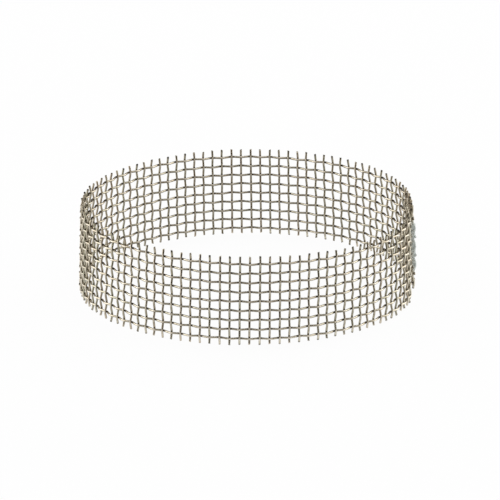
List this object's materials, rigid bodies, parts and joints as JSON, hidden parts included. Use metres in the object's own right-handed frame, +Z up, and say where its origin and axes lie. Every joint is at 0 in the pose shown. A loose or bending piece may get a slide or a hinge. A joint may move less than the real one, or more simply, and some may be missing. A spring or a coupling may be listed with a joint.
{
  "type": "vent insect screen",
  "caption": "Round insect screen for a vent: a strip of woven steel wire cloth rolled into an open ring with overlapping ends.",
  "frame": {"origin": "middle of the ring's outline, on the plane that the cut lower ends of the upright wires stand on", "axes": "+Z up along the ring's axis; +X towards the seam, where the ends of the strip overlap; -Y towards the side that the picture shows in front"},
  "size_m": [0.089, 0.0882, 0.0233],
  "materials": {
    "steel_wire": "drawn stainless wire, warm grey with bright crossings, bare"
  },
  "bodies": {
    "root": {"ring_wire_1": "steel_wire", "ring_wire_2": "steel_wire", "ring_wire_3": "steel_wire", "ring_wire_4": "steel_wire", "ring_wire_5": "steel_wire", "ring_wire_6": "steel_wire", "ring_wire_7": "steel_wire", "ring_wire_8": "steel_wire", "ring_wire_9": "steel_wire", "upright_wires": "steel_wire"}
  },
  "joints": []
}
